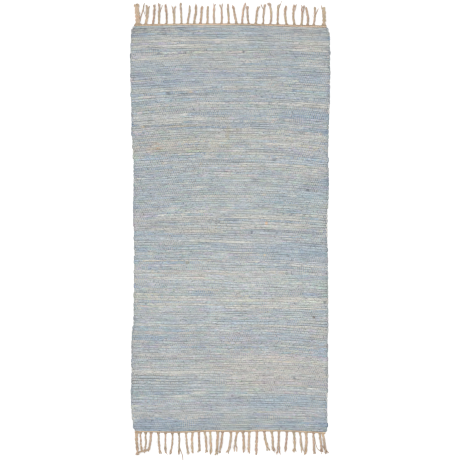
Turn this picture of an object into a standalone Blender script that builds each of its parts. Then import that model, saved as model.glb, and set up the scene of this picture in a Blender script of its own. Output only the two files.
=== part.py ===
"""Rag rug: a flat cloth of rag strips, with a twined heading and a tasselled fringe at each end.

Metres, +Z up. The rug lies flat with its underside on Z = 0 and the origin under its middle.
Its length runs along Y, the far end at +Y and the near end at -Y, and its width along X.
"""

import math
from collections import namedtuple

import bpy

MM = 0.001

# Driving dimensions
CLOTH_THICKNESS = 5.0 * MM
HEADING_WIDTH = 3.4 * MM  # the round cord twined around the warp outside the last row
SPINE_WIDTH = 2.4 * MM  # the knots in a line, from which the tassels of a fringe grow
FRINGE_THICKNESS = 3.0 * MM
GAP = 0.3 * MM  # between neighbouring pieces
CLOTH_END_SETBACK = SPINE_WIDTH + GAP + HEADING_WIDTH + GAP  # cloth's end, in from the spine

# Selvedge: each rag strip turns back after two rows, and the turn stands out a little
ROW_PITCH = 8.5 * MM
TURN_PITCH = 2 * ROW_PITCH
TURN_DEPTH = 1.6 * MM
SAMPLES_PER_TURN = 3
TURN_VARIATION = 0.45  # share by which the turns differ in depth
TURN_BEAT = 1.9  # how fast that difference changes from one turn to the next, in radians

END_STEPS = 36  # stretches into which each end's line is divided
CORD_RESOLUTION = 2
BODY_HALF_LENGTH = 722 * MM  # where the selvedges meet the ends

# Widths of the cloth, in mm: the edges' distances left and right of the middle, along the rug
Section = namedtuple("Section", "along left right")
SELVEDGES = (
    Section(along=-722, left=341, right=342),
    Section(along=-695, left=347, right=347),
    Section(along=-650, left=353, right=347),
    Section(along=-600, left=354, right=347),
    Section(along=-520, left=352, right=350),
    Section(along=-395, left=352, right=349),
    Section(along=-350, left=346, right=350),
    Section(along=-220, left=344, right=350),
    Section(along=-50, left=344, right=348),
    Section(along=40, left=347, right=348),
    Section(along=165, left=345, right=352),
    Section(along=295, left=348, right=350),
    Section(along=380, left=353, right=352),
    Section(along=465, left=354, right=356),
    Section(along=595, left=357, right=357),
    Section(along=680, left=355, right=356),
    Section(along=708, left=353, right=353),
    Section(along=722, left=348, right=347),
)

# Lines of the two ends, in mm: how far out the fringe's spine reaches, across the rug
Station = namedtuple("Station", "across out")
FAR_END = (
    Station(across=-345, out=730),
    Station(across=-250, out=732),
    Station(across=-100, out=734),
    Station(across=60, out=734),
    Station(across=150, out=732),
    Station(across=230, out=730),
    Station(across=345, out=727),
)
NEAR_END = (
    Station(across=-345, out=728),
    Station(across=-200, out=730),
    Station(across=-80, out=725),
    Station(across=20, out=727),
    Station(across=120, out=724),
    Station(across=250, out=727),
    Station(across=345, out=732),
)

# Tassels, in mm: the root's place across the rug, the sideways bow at half length and lean at
# the tip, both from the root, the length, and the width of the bundle
Tassel = namedtuple("Tassel", "root bow lean reach width")
FAR_TASSELS = (
    Tassel(root=-327, bow=-2, lean=-5, reach=73, width=15),
    Tassel(root=-301, bow=6, lean=10, reach=67, width=12),
    Tassel(root=-275, bow=4, lean=5, reach=71, width=8),
    Tassel(root=-252, bow=-1, lean=1, reach=74, width=7),
    Tassel(root=-226, bow=2, lean=-5, reach=72, width=7),
    Tassel(root=-198, bow=-1, lean=-6, reach=61, width=8),
    Tassel(root=-172, bow=-1, lean=-3, reach=75, width=9),
    Tassel(root=-151, bow=4, lean=11, reach=66, width=7),
    Tassel(root=-125, bow=4, lean=6, reach=70, width=9),
    Tassel(root=-103, bow=4, lean=-1, reach=63, width=8),
    Tassel(root=-79, bow=0, lean=4, reach=62, width=8),
    Tassel(root=-54, bow=-2, lean=-1, reach=70, width=8),
    Tassel(root=-29, bow=3, lean=0, reach=70, width=7),
    Tassel(root=-3, bow=-1, lean=-4, reach=70, width=7),
    Tassel(root=24, bow=-5, lean=-11, reach=64, width=8),
    Tassel(root=45, bow=2, lean=8, reach=73, width=7),
    Tassel(root=70, bow=-8, lean=-8, reach=63, width=7),
    Tassel(root=93, bow=3, lean=10, reach=64, width=8),
    Tassel(root=119, bow=4, lean=7, reach=70, width=7),
    Tassel(root=147, bow=4, lean=-5, reach=76, width=8),
    Tassel(root=174, bow=1, lean=-1, reach=71, width=8),
    Tassel(root=206, bow=-6, lean=-3, reach=67, width=8),
    Tassel(root=231, bow=-3, lean=1, reach=73, width=8),
    Tassel(root=258, bow=4, lean=3, reach=70, width=7),
    Tassel(root=281, bow=0, lean=-5, reach=64, width=7),
    Tassel(root=302, bow=4, lean=1, reach=66, width=7),
    Tassel(root=335, bow=0, lean=2, reach=66, width=12),
)
NEAR_TASSELS = (
    Tassel(root=-333, bow=0, lean=4, reach=79, width=9),
    Tassel(root=-319, bow=1, lean=3, reach=67, width=7),
    Tassel(root=-301, bow=-1, lean=-4, reach=71, width=6),
    Tassel(root=-281, bow=-4, lean=-11, reach=66, width=8),
    Tassel(root=-255, bow=3, lean=4, reach=80, width=8),
    Tassel(root=-229, bow=0, lean=2, reach=72, width=7),
    Tassel(root=-205, bow=-1, lean=-6, reach=76, width=7),
    Tassel(root=-182, bow=1, lean=-2, reach=76, width=6),
    Tassel(root=-158, bow=5, lean=8, reach=77, width=7),
    Tassel(root=-134, bow=-2, lean=2, reach=74, width=7),
    Tassel(root=-111, bow=2, lean=3, reach=71, width=8),
    Tassel(root=-89, bow=4, lean=6, reach=73, width=8),
    Tassel(root=-69, bow=2, lean=1, reach=79, width=8),
    Tassel(root=-45, bow=0, lean=-4, reach=83, width=8),
    Tassel(root=-23, bow=-7, lean=-12, reach=75, width=7),
    Tassel(root=3, bow=0, lean=-9, reach=74, width=8),
    Tassel(root=26, bow=-6, lean=-5, reach=69, width=7),
    Tassel(root=48, bow=3, lean=3, reach=72, width=9),
    Tassel(root=71, bow=-3, lean=-3, reach=75, width=9),
    Tassel(root=99, bow=-1, lean=-3, reach=82, width=9),
    Tassel(root=124, bow=6, lean=17, reach=68, width=7),
    Tassel(root=152, bow=4, lean=9, reach=72, width=7),
    Tassel(root=178, bow=-1, lean=-4, reach=81, width=8),
    Tassel(root=205, bow=-2, lean=-7, reach=72, width=8),
    Tassel(root=229, bow=3, lean=3, reach=71, width=8),
    Tassel(root=252, bow=2, lean=9, reach=71, width=6),
    Tassel(root=274, bow=3, lean=-1, reach=79, width=8),
    Tassel(root=301, bow=0, lean=2, reach=75, width=6),
    Tassel(root=322, bow=3, lean=7, reach=61, width=6),
    Tassel(root=335, bow=4, lean=13, reach=73, width=8),
)

# A tassel's outline: shares of its length and of its width, from the spread root to the tip
Outline = namedtuple("Outline", "length width")
TASSEL_OUTLINE = (
    Outline(length=0.0, width=1.7),
    Outline(length=0.09, width=1.1),
    Outline(length=0.35, width=0.9),
    Outline(length=0.65, width=1.0),
    Outline(length=0.93, width=1.1),
    Outline(length=1.0, width=0.6),
)

# Colours as linear RGB
CLOTH_COLOUR = (0.44, 0.48, 0.49)
HEADING_COLOUR = (0.50, 0.37, 0.27)
FRINGE_COLOUR = (0.48, 0.36, 0.26)
CLOTH_ROUGHNESS = 0.95
YARN_ROUGHNESS = 0.9


def smooth_line(rows, place):
    """Value at a place on the smooth line through rows of (place, value)."""
    last = len(rows) - 2
    first = min(max(sum(row[0] <= place for row in rows) - 1, 0), last)
    start, end = rows[first], rows[first + 1]
    before = rows[first - 1] if first > 0 else start
    after = rows[first + 2] if first < last else end
    span = end[0] - start[0]
    slope_start = (end[1] - before[1]) / (end[0] - before[0]) * span
    slope_end = (after[1] - start[1]) / (after[0] - start[0]) * span
    t = (place - start[0]) / span
    rise = t * t * (3 - 2 * t)
    bend = slope_start * t * (1 - t) ** 2 + slope_end * t * t * (t - 1)
    return start[1] * (1 - rise) + end[1] * rise + bend


def end_line(stations, across):
    """How far out an end's spine reaches, at a place across the rug."""
    return smooth_line(stations, across / MM) * MM


def end_places(half_left, half_right):
    """Places across the rug, left to right, at which the lines of an end have points."""
    step = (half_left + half_right) / END_STEPS
    return [i * step - half_left for i in range(END_STEPS + 1)]


def corner_widths(section):
    """Left and right half widths of the cloth at one of its ends."""
    return section.left * MM, section.right * MM


def selvedge(side):
    """Points of one side edge of the cloth, near end to far end, with a turn every second row."""
    rows = [(s.along, s.left if side < 0 else s.right) for s in SELVEDGES]
    turns = round(2 * BODY_HALF_LENGTH / TURN_PITCH)
    count = turns * SAMPLES_PER_TURN
    points = []
    for i in range(1, count):
        share = i / count
        along = (2 * share - 1) * BODY_HALF_LENGTH
        turn = share * turns
        depth = TURN_DEPTH * (1 + TURN_VARIATION * math.sin(TURN_BEAT * math.floor(turn) + side))
        out = smooth_line(rows, along / MM) * MM + depth * (abs(math.sin(math.pi * turn)) - 1)
        points.append((side * out, along))
    return points


def cloth_end(stations, outward, section):
    """Points of one end of the cloth, left to right."""
    places = end_places(*corner_widths(section))
    return [(x, outward * (end_line(stations, x) - CLOTH_END_SETBACK)) for x in places]


def cloth_outline():
    """The cloth's whole outline, anticlockwise from the near left corner."""
    near = cloth_end(NEAR_END, -1, SELVEDGES[0])
    far = cloth_end(FAR_END, 1, SELVEDGES[-1])
    return near + selvedge(1) + far[::-1] + selvedge(-1)[::-1]


def tassel_side(tassel, stations, outward, side):
    """Points of one side of a tassel, from its root to its tip."""
    root = end_line(stations, tassel.root * MM)
    points = []
    for t, width in TASSEL_OUTLINE:
        sway = 4 * tassel.bow * t * (1 - t) + tassel.lean * t * (2 * t - 1)
        across = tassel.root + sway + side * width * tassel.width / 2
        points.append((across * MM, outward * (root + tassel.reach * t * MM)))
    return points


def comb_outline(tassels, stations, outward, section):
    """A fringe's whole outline: its spine's inner line, then its tassels from right to left."""
    places = end_places(*corner_widths(section))
    points = [(x, outward * (end_line(stations, x) - SPINE_WIDTH)) for x in places]
    for tassel in reversed(tassels):
        points += tassel_side(tassel, stations, outward, 1)
        points += tassel_side(tassel, stations, outward, -1)[::-1]
    return points if outward > 0 else points[::-1]


def material(name, colour, roughness):
    """A Principled BSDF material of one colour."""
    result = bpy.data.materials.new(name)
    result.use_nodes = True
    shader = result.node_tree.nodes["Principled BSDF"]
    shader.inputs["Base Color"].default_value = (*colour, 1.0)
    shader.inputs["Roughness"].default_value = roughness
    shader.inputs["Metallic"].default_value = 0.0
    return result


def add_curve(name, dimensions, points, cyclic, finish, collection):
    """A curve object with one straight-sided spline through the points."""
    curve = bpy.data.curves.new(name, "CURVE")
    curve.dimensions = dimensions
    spline = curve.splines.new("POLY")
    spline.points.add(len(points) - 1)
    for slot, point in zip(spline.points, points):
        slot.co = (*point, 0.0, 1.0)
    spline.use_cyclic_u = cyclic
    curve.materials.append(finish)
    result = bpy.data.objects.new(name, curve)
    collection.objects.link(result)
    return result


def flat_piece(name, outline, thickness, finish, collection):
    """A flat solid of even thickness that lies on Z = 0."""
    piece = add_curve(name, "2D", outline, True, finish, collection)
    piece.data.fill_mode = "BOTH"
    piece.data.extrude = thickness / 2
    piece.location.z = thickness / 2
    return piece


def heading_cord(name, stations, outward, section, finish, collection):
    """The round cord between the cloth's end and the fringe's spine, lying on Z = 0."""
    setback = SPINE_WIDTH + GAP + HEADING_WIDTH / 2
    places = end_places(*corner_widths(section))
    points = [(x, outward * (end_line(stations, x) - setback)) for x in places]
    cord = add_curve(name, "3D", points, False, finish, collection)
    cord.data.bevel_depth = HEADING_WIDTH / 2
    cord.data.bevel_resolution = CORD_RESOLUTION
    cord.data.use_fill_caps = True
    cord.location.z = HEADING_WIDTH / 2
    return cord


def build_end(end_name, stations, tassels, outward, section, finishes, collection):
    """The heading and the fringe of one end."""
    heading_finish, fringe_finish = finishes
    heading_cord(f"heading_{end_name}", stations, outward, section, heading_finish, collection)
    outline = comb_outline(tassels, stations, outward, section)
    flat_piece(f"fringe_{end_name}", outline, FRINGE_THICKNESS, fringe_finish, collection)


def build_rug():
    """The whole rug, in a collection of its own."""
    for leftover in list(bpy.data.objects):
        bpy.data.objects.remove(leftover, do_unlink=True)
    collection = bpy.data.collections.new("rag_rug")
    bpy.context.scene.collection.children.link(collection)

    cloth_finish = material("rag_weave", CLOTH_COLOUR, CLOTH_ROUGHNESS)
    yarn_finishes = (
        material("heading_cord", HEADING_COLOUR, YARN_ROUGHNESS),
        material("fringe_yarn", FRINGE_COLOUR, YARN_ROUGHNESS),
    )
    flat_piece("rag_cloth", cloth_outline(), CLOTH_THICKNESS, cloth_finish, collection)
    build_end("far", FAR_END, FAR_TASSELS, 1, SELVEDGES[-1], yarn_finishes, collection)
    build_end("near", NEAR_END, NEAR_TASSELS, -1, SELVEDGES[0], yarn_finishes, collection)


build_rug()
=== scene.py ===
"""Looks of the rag rug: rows of rag strips, twined headings and fringes of twisted yarn.

Metres, +Z up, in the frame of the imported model: the far end is at +Y, the near end at -Y.
"""

import math
from collections import namedtuple

import bpy
import numpy as np
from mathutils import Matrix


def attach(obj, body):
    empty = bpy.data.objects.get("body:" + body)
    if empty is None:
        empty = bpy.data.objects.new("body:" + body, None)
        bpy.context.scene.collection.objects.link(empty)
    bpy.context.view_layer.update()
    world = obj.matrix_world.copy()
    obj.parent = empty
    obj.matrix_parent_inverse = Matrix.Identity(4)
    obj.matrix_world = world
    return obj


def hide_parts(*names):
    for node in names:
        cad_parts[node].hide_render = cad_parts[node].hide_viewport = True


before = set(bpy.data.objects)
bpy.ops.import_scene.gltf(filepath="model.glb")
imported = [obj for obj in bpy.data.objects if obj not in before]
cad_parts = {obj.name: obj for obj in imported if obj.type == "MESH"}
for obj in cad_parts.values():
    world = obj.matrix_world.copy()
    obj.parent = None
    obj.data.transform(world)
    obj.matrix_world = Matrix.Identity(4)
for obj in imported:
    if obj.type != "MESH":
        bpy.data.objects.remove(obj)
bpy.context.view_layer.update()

MM = 0.001
SEED = 27
HEADING_SEED, FRINGE_SEED, YARN_DYE_SEED = SEED + 5, SEED + 40, SEED + 60
WANDER_SPREAD = 0.6  # keeps most of the smooth random values between -1 and 1

# Weave. Here and below, a stray is a pair: the length of its waves in metres, and how far it goes.
ROWS = 170
SECTIONS = 91  # along each row, from selvedge to selvedge
TURN_SECTIONS = 6  # around each selvedge turn
STRIP_CORNERS = 6
STRIP_MAP_RIM = (0.0, 0.22, 0.44, 0.66, 0.78, 0.89, 1.0)  # more of the map for the upper sides
MAP_COLUMNS = 2  # rows side by side on the strip's map
STRIP_HALF_HEIGHT = 2.55 * MM
STRIP_OVERLAP = 1.3  # how much wider a strip is than its row
STRIP_SQUARENESS = 0.7  # 1 for a round strip, less for one with a flatter top
ROW_UNEVENNESS = 0.12  # how much whole rows differ in width
LEAST_ROW = 0.3  # least half width of a row, in even rows
ROW_DRIFT = 7.0 * MM  # the most that rows as a whole stray from even ones
BOUNDARY_STRAYS = ((400 * MM, 1.1 * MM), (120 * MM, 0.8 * MM), (35 * MM, 0.5 * MM))
TURN_DEPTH = 5.5 * MM  # from a row's end to the outside of its turn
TURN_FULLNESS = 1.08  # how much wider a turn is than its two rows
ROUND_TURN = 0.8  # power that shapes the turn's outline: 1 for an ellipse, less for a squarer one
SQUARE_TURN = 0.4
TURN_UNEVENNESS = 0.5 * MM
MOST_UNEVEN = 1.5  # as a factor of it
DEEP_TURN_SHARE = 0.1  # turns that are drawn in much further
DEEP_TURN = 1.4 * MM
PROUD_TURN_SHARE = 0.06  # turns that stand out
PROUD_TURN = 1.2 * MM
EDGE_STRAY = (15 * MM, 0.9 * MM)  # of the selvedge as a whole
SELVEDGE_PROUD = 0.9 * MM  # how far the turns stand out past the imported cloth
FREE_END_INSET = 1.0 * MM
FREE_END_TAPER = 12 * MM
CLOTH_MIDDLE = 2.6 * MM  # height of the cloth's middle plane
CLOTH_SETBACK = 5.9 * MM  # from the end's line to the cloth's last row
WARP_PITCH = 3.58 * MM
WARP_START = -1.4 * MM  # place across the rug of one of the threads
WARP_SHOW = 0.75  # how light the warp threads show on the strips that they cross
END_POINTS_BEYOND = 718 * MM  # outline points of the cloth past this belong to its ends
SELVEDGE_REACH = 10 * MM  # stretch over which a selvedge's outermost place is looked for
COMMON_HALF_WIDTH = 345 * MM

# Rag strips
SHORTEST_STRIP = 0.1  # metres
LONGEST_STRIP = 1.0
USUAL_STRIP = 0.32
STRIP_LENGTH_SPREAD = 0.8
GROUND_TONES = (0.96, 1.04)  # least and most light of a strip's dye, as a factor
FLECK_TONES = (0.92, 1.06)
FLECK_STREAK_SHARE = 0.6  # how much of a streak's dye the flecks take
WASH_STRENGTH = 1.15
PATCH_EDGE = 1.5  # where a broad patch has faded out, in its half widths and half lengths
STREAK_STRENGTH = 0.93
STREAK_FADE = 12 * MM  # over each end of a streak
STREAK_PROBE = 6 * MM  # sections this near to a streak's middle tell which rows it lies on
PROBED_SECTIONS = 40
SPOT_STRENGTH = 0.8
SPOT_EDGE = 1.6  # where a spot has faded out, in its half lengths
THICKNESS_STRAYS = ((0.02, 0.10), (0.06, 0.07))  # as shares of the thickness
THICKNESS_LIMITS = (0.75, 1.12)
JOIN_LUMP = 0.12  # how much thicker the weft is where strips are joined
WIDTH_STRAY = (0.05, 0.12)  # as a share of the width
BULGE_STRAY = (0.02, 0.07)  # of each corner of a strip
BULGE_LIMITS = (0.9, 1.1)
HEIGHT_STRAY = (0.05, 0.4 * MM)  # as the strips rise and sink
FREE_END_SHARE = 0.55  # of the strip's size that is left at the weft's two free ends
REST_SHARE = 0.87  # how far down the corners of a strip reach, in its half heights
FLOOR_GAP = 0.05 * MM  # left below everything
EDGE_SHADE = 0.07  # painted shade of the folded turns: how much darker the rags are at the selvedges
EDGE_SHADE_REACH = 10 * MM
END_SHADE = 0.03  # how much darker the first and the last rows are
END_ROWS = 2
EDGE_GRAIN = 0.09  # how much more they vary from stitch to stitch there
EDGE_GRAIN_LIMITS = (-0.3, 0.2)
EDGE_GRAIN_REACH = 24 * MM
PAINTED_GROOVE_SHADE = 0.25  # painted shade: how much darker the rags are painted in the grooves between the rows
# Uneven dye along the strips: the length of the patches in metres, and how much they vary in light,
# from blue to beige and from lilac to green
Patch = namedtuple("Patch", "length light warmth green")
PATCHES = (
    Patch(0.18, 0.055, 0.036, 0.008),
    Patch(0.06, 0.02, 0.046, 0.014),
    Patch(0.025, 0.018, 0.054, 0.028),
    Patch(0.012, 0.048, 0.06, 0.04),
)
YARN_PATCHES = (
    Patch(0.4, 0.06, 0.035, 0.018),
    Patch(0.03, 0.085, 0.04, 0.022),
    Patch(0.009, 0.08, 0.035, 0.022),
)
TO_BEIGE, TO_GREEN = (1.0, 0.4, -0.2), (-0.5, 1.0, -0.5)  # changes of red, green and blue
FLECK_CONTRAST = 0.75  # how far a strip's flecks stand off its ground

# Heading and fringe
HEADING_HEIGHT = 2.4 * MM
HEADING_LIFT = 2.0  # height of the thicker stretches, in thicknesses of a strand
HEADING_TWIST = 9.0 * MM
HEADING_STRAYS = ((6 * MM, 0.12), (50 * MM, 0.15))  # as shares of the strands' thickness
HEADING_CORNERS = 7
SPINE_HEIGHT = 1.9 * MM  # the spine is the cord of knots at the fringe's roots
SPINE_STRAND = 0.8 * MM
SPINE_TWIST = 6.5 * MM
SPINE_STRAY = (5 * MM, 0.12)  # as a share of its strands' thickness
SPINE_CORNERS = 6
CORD_STEP = 1.5 * MM
CORD_SPREAD = 0.9  # sideways and upwards swing of a strand in its cord, in its thicknesses
CORD_RISE = 0.65
ROOT_SHADE = 0.15  # painted shade: how much darker the tassels are at their roots, where they go under the cord
ROOT_SHADE_LENGTH = 7 * MM
ROOT_SHADE_END = 1.5  # in that length
ROOT_SPREAD = 11 * MM  # least width of the roots of a tassel's yarns
ROOT_FULLNESS = 1.3  # their width in a wide tassel, in its widths
ROOT_LENGTH = 9 * MM  # over which the yarns are gathered
PLY_TWIST = 26 * MM  # length of a turn
PLY_TWISTS = (0.85, 1.2)  # least and most of it, as factors
YARN_TWIST = 15 * MM
YARN_STEPS = 34
YARN_CORNERS = 5
YARN_MAP_COLUMNS = 4  # yarns side by side on the fringe's map
YARNS_PER_MM = 0.8  # of a tassel's width
LEAST_YARNS = 6
YARN_FULLNESS = 0.80  # of the yarns in their tassel
YARN_OUT = 0.52  # from the middle of a ply to the middle of its yarns, in the ply's radii
YARN_TUCK = 0.03  # how far the yarns start inside the root, in the tassel's lengths
YARN_LENGTHS = (0.95, 1.05)  # in the tassel's lengths
YARN_TAPER, YARN_TAPER_START = 0.35, 0.93  # how much thinner the tip is, and from where on
YARN_STRAY = (9 * MM, 0.35 * MM)
YARN_THICKNESS_STRAY = (7 * MM, 0.15)  # as a share of the thickness
TASSEL_STRAY = (14 * MM, 0.9 * MM)
FORK_START = 0.55  # where the plies part, and where their yarns do, as shares of the length
TIP_START = 0.8
TIP_SPREAD = 1.6 * MM
PLY_OUT, PLY_OPENING = 0.85, 0.3  # from the tassel's middle to a ply's, and how much more at the tip
FULL_FORK = 6  # mm: plies that part further than this don't twist at the tip
FIBRES_PER_TASSEL = 30
FIBRE_STEPS = 18
FIBRE_SPAN = 12  # rings of a yarn that a fibre runs along
FIBRE_CORNERS = 3
FIBRE_RADIUS = 0.17 * MM
FIBRE_STAND_OFF = 2.6 * MM
FIBRE_STRAY = (0.3, 0.3 * MM)  # waves in shares of the fibre's length
WISP_STEPS = 22
WISP_TWIST = 12 * MM
WISP_RISE = 2.2  # of its middle over the floor, in the yarns' radii
WISP_TAPER, WISP_TAPER_START = 0.4, 0.85
FLATTENING = 0.5
FLAT_WIDTH = 9  # mm: wider tassels lie flatter still
TASSEL_FULLNESS = 1.04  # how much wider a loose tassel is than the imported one

# How far the rows bow upwards (+Y) between the two ends, in mm, at the places across the rug
BOW_PLACES = (-340, -170, 0, 170, 340)
Bow = namedtuple("Bow", "along rises")
BOWS = [Bow(*row) for row in (
    (-730, (0, 0, 0, 0, 0)), (-640, (-1, 0, 0, 0, 0)), (-570, (3, 2, 1, 1, 0)), (-528, (9, 6, 1, 2, 0)),
    (-485, (8, 4, 1, -1, -4)), (-400, (7, 2, 0, -3, -10)), (-315, (7, 3, -1, -2, -3)),
    (-230, (8, 5, -1, -1, -1)), (-145, (6, 5, -1, -4, -6)), (-60, (4, 6, 0, -4, -9)),
    (25, (0, 6, 2, -3, -8)), (110, (-6, 3, 3, -1, -7)), (195, (-8, 1, 2, 0, -9)),
    (365, (-10, 1, 3, 1, -9)), (450, (-11, 0, 3, 2, -6)), (535, (-7, 0, 1, 2, -2)),
    (620, (-5, 0, 0, 2, -1)), (680, (-1, 0.8, 0.3, 2, 1)), (730, (1.5, 2.2, 0.5, -0.5, -1)),
)]

# Cords along an end, in mm: the place across the rug, how far in from the roots the heading's cord
# lies, the thickness of its strands, and how far in the cord of the knots lies
Cord = namedtuple("Cord", "across setback strand spine_setback")
FAR_CORDS = [Cord(*row) for row in (
    (-339, 2.0, 1.3, -1.0), (-195, 1.8, 1.5, -1.4), (-115, 2.5, 1.5, -0.8), (0, 2.8, 1.45, -0.6),
    (120, 2.9, 1.45, -0.3), (200, 3.1, 1.55, -0.3), (280, 4.4, 1.9, -0.3), (344, 3.4, 1.5, -0.3),
)]
NEAR_CORDS = [Cord(*row) for row in (
    (-340, 4.8, 1.0, 2.2), (-275, 4.8, 1.0, 2.4), (-195, 3.8, 0.8, 1.0), (-115, 2.8, 1.05, 0.2),
    (-38, 4.2, 1.25, 1.2), (40, 3.8, 1.1, 1.0), (120, 4.4, 1.45, 0.6), (200, 4.3, 0.9, 1.2),
    (275, 2.8, 0.9, 0.0), (341, 3.0, 1.0, 0.6),
)]

# Dyes of the rags, as the eye's (sRGB) values, with the share of the strips that have each
Dye = namedtuple("Dye", "red green blue share")
DYES = {
    "mist": Dye(176, 183, 186, 0.25),
    "haze": Dye(171, 180, 185, 0.17),
    "dove": Dye(179, 182, 182, 0.15),
    "lilac": Dye(174, 178, 186, 0.08),
    "sage": Dye(174, 183, 180, 0.06),
    "sky": Dye(162, 177, 187, 0.10),
    "cream": Dye(192, 192, 186, 0.11),
    "ivory": Dye(204, 203, 197, 0.03),
    "denim": Dye(150, 166, 182, 0.03),
    "slate": Dye(147, 153, 159, 0.02),
    "sand": Dye(191, 185, 173, 0.01),
    "rose": Dye(190, 184, 179, 0.0),
    "teal": Dye(162, 178, 184, 0.0),
    "ochre": Dye(202, 186, 158, 0.0),
    "rust": Dye(192, 166, 142, 0.0),
    "olive": Dye(158, 158, 144, 0.0),
    "dusk": Dye(158, 164, 180, 0.0),
    "pearl": Dye(199, 204, 208, 0.0),
    "amber": Dye(216, 176, 132, 0.0),
    "soot": Dye(104, 110, 118, 0.0),
    "umber": Dye(116, 92, 76, 0.0),
    "bronze": Dye(160, 150, 108, 0.0),
}

# Broad patches where the rags lean towards a dye, in mm: the middle across and along the rug,
# the half width, the half length, the dye and how much of it shows. Each lies over those before it.
Wash = namedtuple("Wash", "across along half_width half_length dye strength")
WASHES = [Wash(*row) for row in (
    (0, 600, 420, 130, "dusk", 0.12), (0, -270, 420, 170, "ivory", 0.08),
    (-325, 0, 60, 900, "slate", 0.06), (335, 0, 50, 900, "slate", 0.05),
    (20, -50, 130, 600, "ivory", 0.11), (-330, 705, 40, 20, "slate", 0.35),
    (170, 704, 190, 16, "sand", 0.15), (-100, 664, 150, 16, "cream", 0.6),
    (-90, 664, 110, 14, "sand", 0.15), (285, 655, 62, 18, "cream", 0.6),
    (230, 618, 150, 16, "slate", 0.2), (-250, 560, 110, 45, "denim", 0.3),
    (-275, 545, 90, 34, "slate", 0.25), (-70, 560, 80, 40, "lilac", 0.3),
    (-120, 520, 150, 18, "denim", 0.15), (265, 555, 90, 30, "denim", 0.3),
    (10, 440, 340, 14, "cream", 0.12), (-190, 402, 160, 14, "cream", 0.45),
    (75, 385, 75, 22, "denim", 0.35), (285, 405, 80, 22, "denim", 0.45), (-195, 370, 90, 6, "olive", 0.4),
    (-130, 350, 180, 10, "sand", 0.18), (-7, 350, 7, 24, "bronze", 0.32),
    (-7, 300, 7, 30, "bronze", 0.14), (-9, 337, 9, 8, "bronze", 0.45), (70, 352, 260, 12, "sand", 0.12),
    (-180, 312, 160, 50, "olive", 0.12), (-180, 315, 160, 40, "sand", 0.12),
    (-260, 290, 30, 14, "ochre", 0.2), (160, 325, 180, 24, "cream", 0.5),
    (-275, 275, 80, 20, "slate", 0.2), (-120, 268, 160, 12, "sand", 0.15),
    (80, 270, 110, 14, "sand", 0.25), (275, 264, 60, 12, "slate", 0.2),
    (-220, 229, 130, 16, "denim", 0.15), (-190, 190, 150, 18, "denim", 0.25),
    (-190, 150, 150, 40, "slate", 0.12), (-170, 120, 160, 75, "teal", 0.2),
    (230, 95, 130, 42, "teal", 0.4), (250, 188, 100, 16, "cream", 0.5), (300, 160, 50, 10, "slate", 0.2),
    (10, 60, 150, 16, "ivory", 0.45), (-290, 62, 60, 14, "slate", 0.15),
    (-180, 10, 160, 26, "sand", 0.25), (-255, 12, 90, 26, "slate", 0.25), (75, 25, 30, 16, "ivory", 0.35),
    (180, 10, 170, 14, "cream", 0.6), (180, -32, 150, 12, "ivory", 0.25),
    (-200, -72, 160, 18, "denim", 0.3), (-230, -72, 130, 18, "slate", 0.15),
    (-30, -58, 40, 16, "denim", 0.3), (230, -75, 125, 30, "denim", 0.38),
    (-40, -160, 290, 20, "cream", 0.45), (-40, -180, 300, 36, "pearl", 0.2),
    (60, -203, 200, 14, "sky", 0.25), (70, -205, 120, 14, "pearl", 0.25),
    (-250, -203, 100, 14, "sky", 0.3), (-140, -232, 110, 12, "sage", 0.4),
    (280, -222, 80, 22, "lilac", 0.5), (170, -245, 110, 12, "sky", 0.15),
    (240, -272, 110, 24, "ivory", 0.4), (-110, -286, 150, 14, "pearl", 0.4),
    (0, -320, 340, 36, "haze", 0.35), (150, -328, 190, 14, "sky", 0.2),
    (-215, -400, 140, 24, "denim", 0.25), (250, -365, 90, 14, "sky", 0.2),
    (120, -395, 180, 24, "lilac", 0.4), (130, -500, 210, 62, "rose", 0.5),
    (-210, -475, 140, 36, "rose", 0.3), (200, -462, 150, 12, "sand", 0.12),
    (90, -500, 80, 16, "ivory", 0.15), (290, -502, 60, 18, "slate", 0.15),
    (-170, -508, 190, 30, "cream", 0.4), (-200, -545, 170, 14, "sand", 0.15),
    (-210, -572, 140, 24, "haze", 0.2), (-60, -590, 130, 14, "sand", 0.2),
    (0, -588, 340, 12, "slate", 0.08), (0, -618, 340, 24, "haze", 0.45),
    (270, -630, 70, 16, "slate", 0.18), (0, -630, 340, 18, "dusk", 0.2),
    (-60, -658, 280, 12, "cream", 0.15), (-60, -678, 270, 16, "slate", 0.25),
    (270, -674, 70, 14, "sand", 0.25), (-255, -700, 100, 24, "denim", 0.4),
    (260, -702, 90, 22, "denim", 0.3), (0, -717, 345, 7, "slate", 0.2), (0, 640, 180, 50, "sand", 0.12),
    (-170, -540, 170, 50, "cream", 0.2), (250, -640, 90, 50, "sand", 0.1), (80, 105, 90, 50, "sky", 0.15),
    (-250, 105, 90, 50, "slate", 0.1), (160, -110, 190, 55, "sky", 0.15),
    (0, -270, 345, 105, "pearl", 0.08), (160, -324, 190, 55, "sky", 0.1),
    (100, 428, 250, 55, "dusk", 0.1),
)]

# Places where the warp shows through in stripes, in mm: the middle across and along the rug, the
# half width, the half length and how much of the warp shows
Bare = namedtuple("Bare", "across along half_width half_length share", defaults=[28, 10, 1.0])
BARE_PLACES = [Bare(*row) for row in (
    (152, -675, 36, 9), (130, -288), (259, -141), (-131, 149), (-45, -542), (-156, -700), (238, 388),
    (52, -456), (202, -539), (190, 689, 30, 12), (-208, 714, 26, 10, 0.8), (-285, 632), (-67, 5),
)]

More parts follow.
